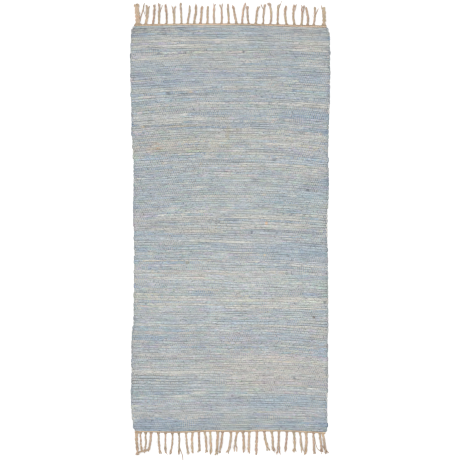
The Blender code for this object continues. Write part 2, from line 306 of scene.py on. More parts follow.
# Streaks that stand out in the weave, in mm: the place along the rug, from where to where across
# it, the dye, how much of the dye shows and the number of rows. They are listed from the far end,
# apart from those that lie over others and so come after them.
Streak = namedtuple("Streak", "along start end dye strength rows", defaults=[1])
STREAKS = [Streak(*row) for row in (
    (719, 190, 350, "cream", 0.6), (713, -278, -147, "slate", 0.5), (723, -280, -25, "cream", 0.4),
    (710, 215, 335, "slate", 0.6), (707, -78, 349, "denim", 0.45), (700, 30, 195, "denim", 0.35, 4),
    (704, 171, 349, "slate", 0.4), (688, -300, -180, "cream", 0.6), (684, 160, 345, "dove", 0.7, 2),
    (696, 172, 350, "slate", 0.35), (678, -290, 60, "ivory", 0.7), (685, -15, 165, "cream", 0.6),
    (669, -190, -55, "denim", 0.6), (683, -279, -85, "cream", 0.8), (665, 225, 355, "cream", 0.5, 2),
    (659, -65, 105, "sky", 0.6, 2), (668, -16, 227, "haze", 0.6), (656, -350, -105, "ivory", 0.7),
    (650, -345, -240, "cream", 0.9), (647, -275, -45, "cream", 0.5), (640, 225, 350, "ivory", 0.8),
    (638, -352, -149, "denim", 0.45), (609, 25, 145, "cream", 0.6), (606, -350, -165, "cream", 1.0),
    (602, 275, 350, "cream", 0.7), (596, 75, 260, "mist", 0.8), (586, -350, -255, "sky", 0.5, 3),
    (605, -282, -23, "cream", 0.6), (597, -352, 39, "haze", 0.7), (585, 245, 345, "ivory", 0.8),
    (575, 205, 235, "slate", 0.5, 3), (597, 110, 290, "denim", 0.35), (582, -140, 353, "cream", 0.6),
    (585, -351, -148, "denim", 0.35), (556, -335, -285, "slate", 0.6), (548, -281, 39, "denim", 0.35),
    (542, -350, -275, "denim", 0.6), (542, 80, 170, "slate", 0.8), (532, 245, 345, "denim", 0.8, 2),
    (530, -45, 25, "cream", 0.6), (530, 60, 170, "cream", 0.6), (542, -211, 102, "denim", 0.45),
    (511, -355, -205, "sky", 0.6, 2), (510, 20, 85, "slate", 0.6), (506, -25, 345, "cream", 0.8),
    (499, -265, -115, "ivory", 0.7), (489, -355, -265, "ivory", 0.6), (503, -351, -85, "haze", 0.5),
    (478, -190, -75, "slate", 1.0, 2), (467, -310, -180, "denim", 0.5), (472, -279, -22, "pearl", 0.35),
    (467, 40, 220, "denim", 0.5), (457, 160, 250, "cream", 0.6), (469, 110, 352, "denim", 0.4),
    (450, 85, 250, "ivory", 0.6), (465, 48, 227, "cream", 0.5), (446, -160, -20, "ivory", 0.8),
    (453, -280, -85, "cream", 0.5), (446, 240, 345, "ivory", 1.0), (439, 234, 350, "cream", 0.9),
    (424, -250, -160, "slate", 0.5), (417, 200, 345, "sky", 0.6, 2), (413, -330, 0, "denim", 0.8),
    (423, -15, 163, "haze", 0.9), (417, -115, -75, "slate", 0.6), (405, -340, -150, "ivory", 0.7),
    (415, -348, -85, "slate", 0.3), (423, -77, 163, "haze", 0.6), (393, -320, -85, "cream", 0.7),
    (392, 165, 250, "slate", 0.6), (382, -330, -165, "cream", 1.0), (376, 60, 95, "slate", 0.5),
    (372, -325, -180, "slate", 0.5), (387, -348, -147, "cream", 0.7), (372, -85, 5, "mist", 0.7),
    (376, -20, 35, "slate", 0.5), (386, -140, 38, "cream", 0.7), (371, -280, -200, "denim", 0.5),
    (366, 210, 260, "ivory", 0.8), (371, -140, 223, "cream", 0.4), (363, -16, 223, "cream", 0.4),
    (355, -208, -23, "haze", 0.6), (336, -85, 35, "cream", 0.6), (333, 35, 160, "sand", 0.5),
    (345, -77, 100, "cream", 0.4), (320, 260, 345, "cream", 0.5, 3), (318, 80, 170, "sky", 0.6),
    (317, -330, -245, "slate", 0.6), (330, -347, -146, "cream", 0.6), (306, 169, 345, "cream", 0.8),
    (304, -345, -275, "slate", 0.5), (285, -300, -240, "ochre", 0.5), (290, -230, -205, "sand", 0.6),
    (289, -343, -144, "slate", 0.3), (275, 60, 200, "slate", 0.4), (268, 55, 230, "cream", 0.6),
    (262, 200, 345, "slate", 0.5), (261, -95, -55, "ivory", 0.8), (246, -135, 60, "slate", 0.6),
    (238, -245, -145, "sand", 0.4), (235, -204, 41, "haze", 0.9), (230, 80, 170, "mist", 0.6),
    (241, 109, 346, "pearl", 0.4, 2), (218, -345, -205, "denim", 0.8), (218, -204, 41, "sky", 0.5),
    (199, 80, 170, "mist", 0.6), (179, -340, -19, "sky", 0.7), (167, 75, 105, "slate", 0.6, 2),
    (152, -135, -90, "ivory", 0.8), (166, -134, 42, "sky", 0.4), (165, -134, 225, "haze", 0.5),
    (133, 85, 250, "cream", 1.0), (141, 220, 345, "slate", 0.5), (122, 80, 345, "sky", 0.5, 5),
    (136, 49, 346, "pearl", 0.3), (119, 205, 235, "ivory", 0.8), (92, -13, 162, "pearl", 0.4),
    (79, -345, -215, "denim", 0.7), (73, 35, 95, "denim", 0.6), (59, -85, 170, "mist", 1.0),
    (40, 5, 250, "cream", 0.9, 2), (38, -345, -40, "cream", 0.8), (33, -20, 35, "slate", 0.7),
    (41, -274, 343, "ivory", 0.5), (33, -342, -83, "slate", 0.3), (41, -205, 221, "ivory", 0.4),
    (5, -170, -80, "slate", 0.7), (15, -136, 99, "cream", 0.5), (23, -136, 221, "slate", 0.2),
    (2, -273, 39, "cream", 0.7), (-3, -290, -235, "cream", 0.9), (-6, 188, 245, "slate", 0.8),
    (-9, -235, -95, "cream", 0.9), (-12, 80, 345, "slate", 0.6), (-28, -215, -170, "denim", 0.6, 2),
    (-35, -250, 90, "mist", 0.8), (-20, -203, 161, "pearl", 0.3), (-44, -180, 185, "ivory", 0.9),
    (-50, -330, -250, "mist", 0.7), (-44, -339, -142, "haze", 0.9), (-58, 0, 90, "mist", 1.0),
    (-66, -65, 25, "denim", 0.5), (-76, -335, -295, "denim", 0.8, 3), (-80, 80, 345, "sky", 0.45, 7),
    (-58, -12, 284, "pearl", 0.35), (-71, -203, 100, "sky", 0.4), (-90, -335, -275, "cream", 0.6),
    (-115, 48, 345, "pearl", 0.35), (-131, 210, 345, "ivory", 0.8), (-122, 109, 344, "pearl", 0.4),
    (-138, 130, 225, "denim", 0.5), (-143, -134, 102, "mist", 1.0), (-142, -134, 41, "haze", 0.6),
    (-155, 135, 200, "sand", 0.6), (-157, -315, -190, "cream", 0.7), (-152, -345, -280, "mist", 0.8, 2),
    (-164, -50, 25, "sand", 0.6), (-177, -250, -160, "dove", 0.6), (-164, -135, -90, "sand", 0.6),
    (-162, -73, 224, "ivory", 0.3), (-179, -73, 223, "haze", 0.4), (-188, -330, -240, "mist", 0.7),
    (-190, -339, -81, "haze", 0.6), (-231, 255, 310, "denim", 0.8), (-233, -135, -60, "denim", 0.8, 2),
    (-243, -185, -105, "ivory", 0.8), (-234, -202, -20, "sky", 0.5), (-253, 150, 345, "cream", 0.7),
    (-267, -150, -85, "cream", 0.6), (-270, -80, -60, "ochre", 0.7), (-269, -203, -20, "ivory", 0.6),
    (-270, -271, 101, "ivory", 0.55), (-282, -15, 345, "ivory", 1.1), (-298, 150, 345, "sky", 0.5, 3),
    (-310, -272, -81, "pearl", 0.55), (-328, -35, 345, "sky", 0.6), (-338, 245, 335, "cream", 0.8),
    (-345, -345, -35, "cream", 0.7), (-352, 80, 345, "cream", 1.1), (-371, -165, -80, "cream", 0.7),
    (-374, 130, 200, "denim", 0.6), (-383, 210, 230, "slate", 0.7), (-374, 45, 283, "sky", 0.7),
    (-393, -350, -240, "denim", 0.8, 2), (-393, 105, 282, "sky", 0.8), (-446, -350, -85, "cream", 0.6, 2),
    (-439, -348, -148, "haze", 1.0), (-456, -330, -245, "cream", 0.8), (-468, -10, 170, "ivory", 0.8),
    (-472, -350, -135, "sky", 0.6), (-488, 60, 155, "slate", 0.5), (-496, -275, -145, "denim", 0.6),
    (-510, 10, 345, "cream", 0.35, 6), (-513, -350, -100, "ivory", 0.8), (-504, -347, -85, "haze", 0.5),
    (-521, -85, 5, "mist", 0.8), (-529, -115, -10, "ivory", 0.7), (-553, -345, -15, "sky", 0.45, 5),
    (-560, -235, -150, "slate", 0.5), (-560, -349, -149, "pearl", 0.45), (-572, 270, 315, "ivory", 0.9),
    (-560, 105, 344, "slate", 0.3), (-584, -135, -75, "ivory", 0.8), (-589, 40, 190, "ivory", 0.7),
    (-577, 166, 343, "haze", 0.7), (-593, -210, -145, "ivory", 0.8), (-603, 5, 55, "slate", 0.8),
    (-613, 60, 345, "sky", 0.5, 5), (-603, 165, 281, "denim", 0.6), (-613, 105, 343, "sky", 0.75),
    (-636, -19, 219, "sky", 0.8), (-642, -349, -88, "haze", 1.0), (-656, 105, 200, "cream", 0.7),
    (-668, -15, 35, "cream", 0.7), (-655, -210, 97, "haze", 0.8), (-683, 165, 250, "slate", 0.5),
    (-685, 290, 345, "denim", 0.6, 2), (-700, -345, -35, "denim", 0.5, 5),
    (-663, -340, -100, "dove", 1.0, 2), (-705, -204, 39, "mist", 0.6), (-706, 107, 281, "mist", 0.5),
)]

# Knots, stains and specks: for each dye the places (across the rug, along it) and the length, in mm
SPOTS = {
    "slate": (
        (345, 721, 12), (-134, 697, 9), (-236, 696, 10), (-308, 674, 8), (-90, 646, 9), (61, 554, 9),
        (-280, 532, 8), (-286, 499, 9), (142, 444, 9), (295, 425, 9), (259, 347, 8), (158, 253, 12),
        (-21, 212, 9), (-128, 170, 8), (90, 170, 9), (122, 160, 7), (-308, 138, 9), (220, 55, 9),
        (274, 21, 8), (204, -97, 9), (249, -140, 14), (36, -174, 9), (-345, -364, 10), (-167, -439, 9),
        (-225, -530, 9), (231, -530, 8), (271, -623, 9), (-339, -695, 9), (-320, -700, 8),
        (-155, -702, 10), (-57, -712, 9), (326, -713, 8), (70, -714, 8), (-203, -719, 9),
    ),
    "soot": ((46, 629, 9), (-221, 484, 8), (276, 137, 8), (77, -16, 8), (340, -264, 8)),
    "ochre": ((-140, 493, 12), (-313, 362, 8), (125, -95, 8)),
    "ivory": (
        (-162, 409, 10), (204, 391, 9), (71, 365, 8), (305, 208, 9), (20, -225, 12), (150, -673, 14),
    ),
    "rust": ((-257, 284, 9),),
    "sky": ((-38, 258, 11),),
    "sand": ((-239, 237, 10), (-105, 232, 8), (122, 124, 12)),
    "amber": ((130, 21, 9),),
    "cream": ((99, -93, 8),),
    "dove": ((-318, -119, 12),),
    "olive": ((-153, -122, 11),),
    "umber": ((301, -316, 8),),
}

# Tassels, in mm: the root's place across the rug, the sideways bow at half length and lean at
# the tip, both from the root, the length, the width of the bundle, and how far its two plies
# part at the tip
Tassel = namedtuple("Tassel", "root bow lean reach width fork")
FAR_TASSELS = [Tassel(*row) for row in (
    (-329, -3, -6, 73, 21, 3), (-302, 5, 9, 68, 11, 10), (-276, 4, 5, 71, 8, 2), (-254, 0, 1, 74, 8, 1),
    (-229, 2, -4, 72, 7, 2), (-200, -1, -4, 64, 8, 10), (-174, -1, -3, 75, 7, 1), (-153, 6, 9, 66, 7, 2),
    (-128, 4, 7, 70, 8, 3), (-107, 4, 5, 63, 8, 1), (-81, 0, 2, 62, 8, 2), (-56, -2, -1, 70, 7, 3),
    (-31, 2, -2, 70, 7, 8), (-5, -1, -3, 70, 7, 1), (23, -6, -13, 64, 8, 2), (43, 2, 9, 73, 7, 2),
    (67, -5, -5, 63, 7, 1), (92, 3, 10, 64, 8, 2), (117, 4, 6, 70, 6, 1), (143, 4, -4, 76, 8, 3),
    (171, 0, 1, 71, 7, 4), (204, -7, -3, 67, 8, 6), (231, -5, 0, 73, 8, 9), (255, 3, 5, 70, 7, 9),
    (277, 1, -4, 64, 8, 2), (299, 4, 3, 66, 7, 1), (335, 2, 1, 66, 14, 3),
)]
NEAR_TASSELS = [Tassel(*row) for row in (
    (-334, 0, 3, 79, 11, 4), (-321, 1, 5, 67, 6, 2), (-303, 1, -3, 71, 6, 1), (-283, -3, -10, 66, 8, 1),
    (-257, 2, 5, 76, 8, 2), (-231, -1, 1, 72, 6, 4), (-207, -1, -7, 76, 6, 1), (-184, 2, 0, 76, 6, 2),
    (-158, 3, 7, 77, 7, 4), (-134, -2, 1, 74, 8, 2), (-112, 1, 2, 71, 8, 7), (-91, 4, 6, 73, 8, 4),
    (-72, 3, 2, 79, 8, 4), (-44, -2, -5, 83, 10, 5), (-27, -5, -11, 75, 8, 4), (2, -1, -12, 74, 8, 5),
    (26, -7, -5, 69, 7, 11), (46, 2, 2, 72, 9, 5), (69, -2, -4, 75, 9, 1), (96, -2, -4, 82, 9, 4),
    (122, 5, 15, 68, 8, 8), (149, 3, 7, 72, 8, 4), (175, -1, -2, 81, 8, 11), (203, -2, -7, 72, 8, 4),
    (228, 2, 1, 71, 9, 4), (250, 3, 10, 71, 7, 6), (272, 0, -3, 79, 10, 4), (299, 0, 3, 75, 8, 1),
    (321, 3, 8, 66, 8, 3), (333, 4, 12, 73, 9, 8),
)]

# Loose strands, in mm: the width, and the route as places (across the rug, out from the roots)
Wisp = namedtuple("Wisp", "width route")
FAR_WISPS = (
    Wisp(4.5, ((-323, 12), (-320, 27), (-313, 50), (-307, 78))),
    Wisp(2.0, ((-302, 30), (-310, 52), (-311, 66), (-307, 76))),
    Wisp(2.5, ((-254, 20), (-252, 40), (-246, 58), (-242, 70))),
    Wisp(1.8, ((63, 30), (62, 44), (65, 54), (68, 63))),
    Wisp(3.0, ((120, 35), (119, 52), (114, 62), (110, 73))),
    Wisp(2.0, ((173, 40), (175, 58), (180, 72), (184, 85))),
    Wisp(3.0, ((303, 20), (304, 33), (310, 48), (316, 62))),
    Wisp(2.5, ((332, 30), (331, 48), (328, 62), (327, 74))),
)
NEAR_WISPS = (
    Wisp(6.0, ((-291, 54), (-295, 62), (-305, 67), (-318, 69), (-325, 72), (-331, 80))),
    Wisp(4.0, ((-296, 60), (-306, 64), (-318, 66), (-326, 70), (-333, 76))),
    Wisp(1.8, ((-230, 53), (-229, 65), (-227, 73), (-225, 79))),
    Wisp(3.0, ((-182, 48), (-177, 64), (-171, 81), (-169, 99))),
    Wisp(2.8, ((-155, 55), (-154, 65), (-150, 71), (-144, 75))),
    Wisp(2.4, ((300, 12), (303, 24), (307, 42), (313, 57), (322, 64), (331, 61))),
    Wisp(2.2, ((320, 63), (325, 67), (327, 74))),
    Wisp(3.0, ((326, 43), (332, 49), (338, 59), (344, 70))),
)

YARN_COLOUR = (186, 162, 138)  # as the eye's (sRGB) values
# The crest colours are the lighter tones, for light patches and for painted highlights on the crests of
# the fine threads
YARN_CREST_COLOUR = (200, 179, 159)
YARN_PINK = (206, 170, 147)
YARN_OLIVE = (178, 168, 142)
HEADING_COLOUR = (219, 197, 171)
# lighter tone of the heading, for light patches and painted highlights on its thread crests
HEADING_CREST_COLOUR = (224, 204, 181)

# The two ends of the rug
End = namedtuple("End", "name outward cords heading_shade tassels wisps")
ENDS = (
    End("far", 1, FAR_CORDS, 0.84, FAR_TASSELS, FAR_WISPS),
    End("near", -1, NEAR_CORDS, 1.0, NEAR_TASSELS, NEAR_WISPS),
)

# Looks
RAG_ALBEDO = 0.917  # trims all the rags' dyes at once
WARP_COLOUR = (205, 200, 190)
COTTON_SHEEN = 0.15
COTTON_SPECULAR = 0.25

# Patterns on the rags: the length and width of a patch in mm, a shift that tells the patterns
# apart, and the detail of the noise
Pattern = namedtuple("Pattern", "length width shift detail")
PATTERNS = {
    "flecks": Pattern(12, 4.6, 0.0, 3.0),
    "mottle": Pattern(6, 3.0, 131.3, 2.0),
    "folds": Pattern(24, 4.2, 31.7, 2.0),
    "creases": Pattern(85, 2.0, 203.1, 2.0),
    "fibres": Pattern(2.4, 0.5, 57.1, 3.0),
    "specks": Pattern(9, 2.8, 83.9, 1.0),
}
# How the patterns shade the rags: from which value to which, and the factors for light there
SHADING = (
    ("mottle", 0.3, 0.7, 0.875, 1.12),
    ("folds", 0.3, 0.7, 0.955, 1.045),
    # painted shade in the hollows of the creases and painted light on their ridges, which the bump raises
    ("creases", 0.3, 0.7, 0.84, 1.13),
    ("fibres", 0.3, 0.7, 0.9, 1.08),
    ("specks", 0.6, 0.68, 1.0, 0.7),
)
ROW_SHIFT = 7.31  # of the patterns from row to row
STRIP_HALF_WIDTH = 4.2 * MM
STRIP_FLATNESS = 0.6  # a strip's height by its width
WORN_LENGTH, WORN_ROWS, WORN_SHIFT = 45 * MM, 5.0, 11.3  # patches in which the warp shows more
LEAST_WORN = 0.15  # of a warp thread that shows between them
WORN_RANGE = (0.45, 0.62)  # of the noise in which the warp comes up
BARE_RANGE = (0.1, 0.4)  # of bareness in which neighbouring rows come in line
DASH_RANGE = (0.78, 0.97)  # of the wave in which a dash comes up
FLECK_RANGE = (0.46, 0.62)  # of the noise in which the flecks come up
GROOVE_RANGE = (0.5, 0.85)  # of the way from the middle of a strip to its side, over which the painted shade of the grooves comes in
# How far the patterns, the warp's wave and its dashes raise the rags, with the creases as 1
RELIEF = {"mottle": 0.6, "fibres": 0.3}
WAVE_RELIEF, DASH_RELIEF = -0.2, 0.6
RAG_ROUGHNESS = (0.3, 0.7, 0.86, 0.96)  # from which value of the fibres to which, and how rough there
RAG_BUMP = (0.9 * MM, 0.7)  # height and strength

# The yarns' look, in the same terms. Their patterns have a length, a width and a detail.
YARN_SHIFT = 37.0  # of the patterns from yarn to yarn
YARN_HALF_WIDTH = 1.0 * MM
YARN_LOOK_TWIST = 3.6 * MM  # of the fine threads that the bump shows in each yarn
FUZZ_PATTERN = (3.5 * MM, 0.6 * MM, 3.0)
TONE_PATTERN = (16 * MM, 3 * MM, 2.0)
TINT_PATTERN = (30 * MM, 4 * MM, 1.0)
YARN_TONES = (0.3, 0.7, 0.15, 0.85)
YARN_TINTS = (((0.55, 0.7, 0.0, 0.75), YARN_PINK), ((0.3, 0.45, 0.75, 0.0), YARN_OLIVE))
FUZZ_SHADE = (0.25, 0.75, 0.9, 1.1)
PLY_HIGHLIGHT = 0.22  # painted highlight: how much lighter a fine thread is on its crest, and darker between the threads
FUZZ_RELIEF = 0.6
YARN_ROUGHNESS = (0.3, 0.7, 0.8, 0.95)
YARN_BUMP = (0.25 * MM, 0.8)


def smooth_line(rows, place):
    """Value at a place on the smooth line through rows of (place, value)."""
    last = len(rows) - 2
    first = min(max(sum(row[0] <= place for row in rows) - 1, 0), last)
    start, end = rows[first], rows[first + 1]
    before = rows[first - 1] if first > 0 else start
    after = rows[first + 2] if first < last else end
    span = end[0] - start[0]
    slope_start = (end[1] - before[1]) / (end[0] - before[0]) * span
    slope_end = (after[1] - start[1]) / (after[0] - start[0]) * span
    t = (place - start[0]) / span
    rise = t * t * (3 - 2 * t)
    bend = slope_start * t * (1 - t) ** 2 + slope_end * t * t * (t - 1)
    return start[1] * (1 - rise) + end[1] * rise + bend


def smooth_step(value):
    """0 below 0, 1 above 1, and a smooth rise between."""
    t = np.clip(value, 0.0, 1.0)
    return t * t * (3 - 2 * t)


def beyond(start, share):
    """A smooth rise from 0 at the start to 1 at the end of a length, at shares of it."""
    return smooth_step((share - start) / (1 - start))


def linear(colour):
    """A colour of the eye's (sRGB) values, 0 to 255, as linear light."""
    values = np.asarray(colour, float) / 255
    return np.where(values <= 0.04045, values / 12.92, ((values + 0.055) / 1.055) ** 2.4)


def wander(random, lines, places, wavelength):
    """Smooth random values, about -1 to 1, at places along each of several lines."""
    places = np.broadcast_to(places, (lines, np.shape(places)[-1]))
    knots = int(np.ptp(places) / wavelength) + 3
    values = random.normal(0.0, WANDER_SPREAD, (lines, knots))
    position = (places - places.min()) / wavelength + random.random((lines, 1))
    first = position.astype(int)
    blend = smooth_step(position - first)
    line = np.arange(lines)[:, None]
    return values[line, first] * (1 - blend) + values[line, first + 1] * blend


def stray(random, places, wavelength, reach):
    """Smooth random values, about -reach to reach, at places along one line."""
    return reach * wander(random, 1, places, wavelength)[0]


class Strands:
    """Tubes gathered for one mesh, with values on their points and a place on its map for each."""

    def __init__(self):
        self.points = []
        self.faces = []
        self.places = []
        self.values = {}
        self.count = 0

    def add(
        self, centres, sides, half_widths, half_heights, tiles, rim, square=1.0, bulge=1.0, **values
    ):
        """Add a tube along the centres. Each stretch has a tile (u0, v0, u1, v1) of the map, and
        rim gives the shares of the tile's height at which the tube's corners lie. A square below 1
        flattens the top, and bulge is a factor for each corner of each ring."""
        corners = len(rim) - 1
        rings = len(centres)
        angles = np.arange(corners) * 2 * math.pi / corners
        cos, sin = np.cos(angles), np.sin(angles)
        wide = np.sign(cos) * np.abs(cos) ** square
        across = sides[:, None, :] * (half_widths[:, None] * wide * bulge)[:, :, None]
        ups = np.cross(np.gradient(centres, axis=0), sides)
        ups /= np.linalg.norm(ups, axis=1, keepdims=True)
        above = ups[:, None, :] * (half_heights[:, None] * sin * bulge)[:, :, None]
        self.points.append((centres[:, None, :] + across + above).reshape(-1, 3))
        self.add_skin(rings, corners, tiles, np.asarray(rim))
        values["across"] = np.tile(cos, rings)
        values["lift"] = np.tile(sin, rings)
        for name, value in values.items():
            value = np.asarray(value, float)
            if len(value) == rings:
                value = np.repeat(value, corners, axis=0)
            self.values.setdefault(name, []).append(value)
        self.count += rings * corners

    def add_skin(self, rings, corners, tiles, rim):
        """Add the four-sided faces and the two caps of a tube, with their places on the map."""
        ring = np.arange(rings - 1)[:, None] * corners + self.count
        side = np.arange(corners)[None, :]
        after = (side + 1) % corners
        quads = np.stack([ring + side, ring + after, ring + corners + after, ring + corners + side])
        self.faces += quads.transpose(1, 2, 0).reshape(-1, 4).tolist()
        u0, v0, u1, v1 = (tiles[:, i, None] for i in range(4))
        low = v0 + (v1 - v0) * rim[None, :-1]
        high = v0 + (v1 - v0) * rim[None, 1:]
        start, end = np.broadcast_to(u0, low.shape), np.broadcast_to(u1, low.shape)
        corners_uv = np.stack([start, low, start, high, end, high, end, low], axis=-1)
        self.places.append(corners_uv.reshape(-1, 2))
        last = self.count + (rings - 1) * corners
        caps = (self.count, -1, tiles[0, 0], tiles[0]), (last, 1, tiles[-1, 2], tiles[-1])
        for first, order, u, tile in caps:
            self.faces.append([first + i for i in range(corners)][::order])
            v = (tile[1] + (tile[3] - tile[1]) * rim[:-1])[::order]
            self.places.append(np.column_stack([np.full(corners, u), v]))

    def build(self, name, finish):
        """The mesh object, smooth shaded, with its values as attributes and its map for baking."""
        mesh = bpy.data.meshes.new(name)
        mesh.from_pydata(np.concatenate(self.points).tolist(), [], self.faces)
        for key, parts in self.values.items():
            value = np.concatenate(parts)
            kind, field = ("FLOAT", "value") if value.ndim == 1 else ("FLOAT_COLOR", "color")
            mesh.attributes.new(key, kind, "POINT").data.foreach_set(field, value.ravel())
        layer = mesh.uv_layers.new(name="OFBake")
        layer.data.foreach_set("uv", np.concatenate(self.places).ravel())
        mesh.shade_smooth()
        mesh.materials.append(finish)
        mesh.validate()
        result = bpy.data.objects.new(name, mesh)
        bpy.context.scene.collection.objects.link(result)
        return result


def side_vectors(centres):
    """Level vectors of length 1 across a line, to its left."""
    along = np.gradient(centres, axis=0)
    sides = np.column_stack([-along[:, 1], along[:, 0], np.zeros(len(along))])
    return sides / np.linalg.norm(sides, axis=1, keepdims=True)


def travel(line):
    """The distance travelled along a line at each of its points."""
    steps = np.linalg.norm(np.diff(line, axis=0), axis=1)
    return np.concatenate([[0], np.cumsum(steps)])


def finished(strands, name, finish, node):
    """The mesh object of the strands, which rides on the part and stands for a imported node."""
    piece = strands.build(name, finish)
    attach(piece, "root")
    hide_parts(node)
    return piece


# The cloth


class Outline:
    """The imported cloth's outline: where its ends and its selvedges lie."""

    def __init__(self):
        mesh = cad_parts["rag_cloth"].data
        points = np.array([tuple(v.co) for v in mesh.vertices])
        ends = np.abs(points[:, 1]) > END_POINTS_BEYOND
        self.far = self.line(points[ends & (points[:, 1] > 0)], 0)
        self.near = self.line(points[ends & (points[:, 1] < 0)], 0)
        self.left = self.line(points[~ends & (points[:, 0] < 0)], 1)
        self.right = self.line(points[~ends & (points[:, 0] > 0)], 1)

    @staticmethod
    def line(points, axis):
        """Points in order along an axis, as (along it, across it)."""
        ordered = points[np.argsort(points[:, axis])]
        return ordered[:, axis], ordered[:, 1 - axis]

    def end(self, outward, across):
        """How far out from the middle a fringe's roots lie, at places across the rug."""
        line = self.far if outward > 0 else self.near
        return outward * np.interp(across, *line) + CLOTH_SETBACK

    def selvedge(self, side, along):
        """The outermost place of a selvedge around a place along the rug, as a distance."""
        places, out = self.left if side < 0 else self.right
        near = np.abs(places - along) < SELVEDGE_REACH
        if not near.any():
            return float(np.abs(np.interp(along, places, out)))
        return float(np.abs(out[near]).max())


def bow_of_rows(along, across):
    """How far rows bow upwards at the places of a grid, in metres."""
    table = [[(bow.along, bow.rises[i]) for bow in BOWS] for i in range(len(BOW_PLACES))]
    result = np.empty(across.shape)
    for i, row in enumerate(across):
        rises = [(p, smooth_line(column, along[i] / MM)) for p, column in zip(BOW_PLACES, table)]
        result[i] = [smooth_line(rises, x / MM) for x in row]
    return result * MM


def row_drift(random, pitch):
    """How far the lines between the rows stray from even ones, as rows differ in width."""
    drift = np.cumsum(random.normal(0, ROW_UNEVENNESS * pitch, ROWS + 1))
    drift -= np.linspace(drift[0], drift[-1], ROWS + 1)
    return ROW_DRIFT * np.tanh(drift / ROW_DRIFT)


def row_grid(outline, random):
    """Places across and along the rug, and half widths, of the sections of each row, from left to
    right. The rows lie between lines that stray a little from even ones."""
    share = np.linspace(0, 1, SECTIONS)
    length = 2 * COMMON_HALF_WIDTH
    ends = [outline.end(outward, np.array([0.0]))[0] - CLOTH_SETBACK for outward in (-1, 1)]
    nominal = -ends[0] + (np.arange(ROWS) + 0.5) / ROWS * (ends[0] + ends[1])
    inset = TURN_DEPTH - SELVEDGE_PROUD
    left = np.array([inset - outline.selvedge(-1, y) for y in nominal])
    right = np.array([outline.selvedge(1, y) - inset for y in nominal])
    left += stray(random, nominal, *EDGE_STRAY)
    right += stray(random, nominal, *EDGE_STRAY)
    left[0] -= inset - FREE_END_INSET
    left[-1] -= inset - FREE_END_INSET
    across = left[:, None] + share * (right - left)[:, None]
    near = CLOTH_SETBACK - outline.end(-1, across)
    far = outline.end(1, across) - CLOTH_SETBACK
    pitch = (far - near) / ROWS
    strays = np.tile(row_drift(random, pitch.mean())[:, None], SECTIONS)
    for wavelength, reach in BOUNDARY_STRAYS:
        strays += reach * wander(random, ROWS + 1, share * length, wavelength)
    strays[[0, -1]] = 0
    low = np.arange(ROWS)[:, None] * pitch + strays[:-1]
    high = (np.arange(ROWS)[:, None] + 1) * pitch + strays[1:]
    half_widths = np.maximum((high - low) / 2, pitch * LEAST_ROW)
    along = near + (low + high) / 2 + bow_of_rows(nominal, across)
    return across, along, half_widths


def selvedge_turn(pivot, side, half_span, random):
    """Centres, sides and half widths of the sections of a turn, fanned out around its pivot."""
    depth = TURN_DEPTH + TURN_UNEVENNESS * np.clip(random.normal(0, 1), -MOST_UNEVEN, MOST_UNEVEN)
    depth -= DEEP_TURN * (random.random() < DEEP_TURN_SHARE)
    depth += PROUD_TURN * (random.random() < PROUD_TURN_SHARE)
    power = random.uniform(SQUARE_TURN, ROUND_TURN)
    angles = (np.arange(1, TURN_SECTIONS + 1) / (TURN_SECTIONS + 1) - 0.5) * math.pi
    x = side * depth * np.cos(angles) ** power
    y = half_span * np.sign(angles) * np.abs(np.sin(angles)) ** power
    spokes = np.column_stack([x, y, np.zeros(TURN_SECTIONS)])
    lengths = np.linalg.norm(spokes, axis=1)
    return pivot + spokes[:, :2] / 2, -side * spokes / lengths[:, None], lengths / 2


def serpentine(across, along, half_widths, random):
    """The whole weft as one line, back and forth: centres, sides, half widths and rows of its
    sections."""
    centres, sides, widths, rows = [], [], [], []
    for row in range(ROWS):
        order = slice(None) if row % 2 == 0 else slice(None, None, -1)
        line = np.column_stack([across[row][order], along[row][order]])
        centres.append(line)
        sides.append(side_vectors(line))
        widths.append(half_widths[row][order])
        rows += [row] * SECTIONS
        if row == ROWS - 1:
            break
        side, edge = (1, -1) if row % 2 == 0 else (-1, 0)
        ends = np.array([[across[i][edge], along[i][edge]] for i in (row, row + 1)])
        half_span = (ends[1, 1] - ends[0, 1]) * TURN_FULLNESS
        turn = selvedge_turn(ends.mean(axis=0), side, half_span, random)
        for part, values in zip((centres, sides, widths), turn):
            part.append(values)
        rows += [row] * TURN_SECTIONS
    return np.concatenate(centres), np.concatenate(sides), np.concatenate(widths), np.array(rows)


def strip_colours(random, travelled):
    """Linear colours of the rag strips and of the flecks in them, for each section of the weft."""
    names = list(DYES)
    dyes = linear([DYES[name][:3] for name in names])
    shares = np.array([DYES[name].share for name in names])
    ground, flecks = np.empty((2, len(travelled), 3))
    place, joins = 0.0, []
    while place < travelled[-1]:
        length = USUAL_STRIP * math.exp(random.normal(0, STRIP_LENGTH_SPREAD))
        length = min(max(length, SHORTEST_STRIP), LONGEST_STRIP)
        inside = (travelled >= place) & (travelled <= place + length)
        first, second = random.choice(len(names), 2, p=shares / shares.sum())
        ground[inside] = dyes[first] * random.uniform(*GROUND_TONES)
        flecks[inside] = dyes[second] * random.uniform(*FLECK_TONES)
        flecks[inside] += (ground[inside] - flecks[inside]) * (1 - FLECK_CONTRAST)
        joins.append(int(np.argmax(inside)))
        place += length
    return ground, flecks, joins


def fade(random, colours, travelled, patches=PATCHES):
    """Uneven dye along a strip or yarn, in patches of several lengths."""
    for patch in patches:
        light, warmth, green = wander(random, 3, travelled, patch.length)
        colours *= 1 + patch.light * light[:, None]
        colours *= 1 + np.outer(patch.warmth * warmth, TO_BEIGE)
        colours *= 1 + np.outer(patch.green * green, TO_GREEN)
    return colours


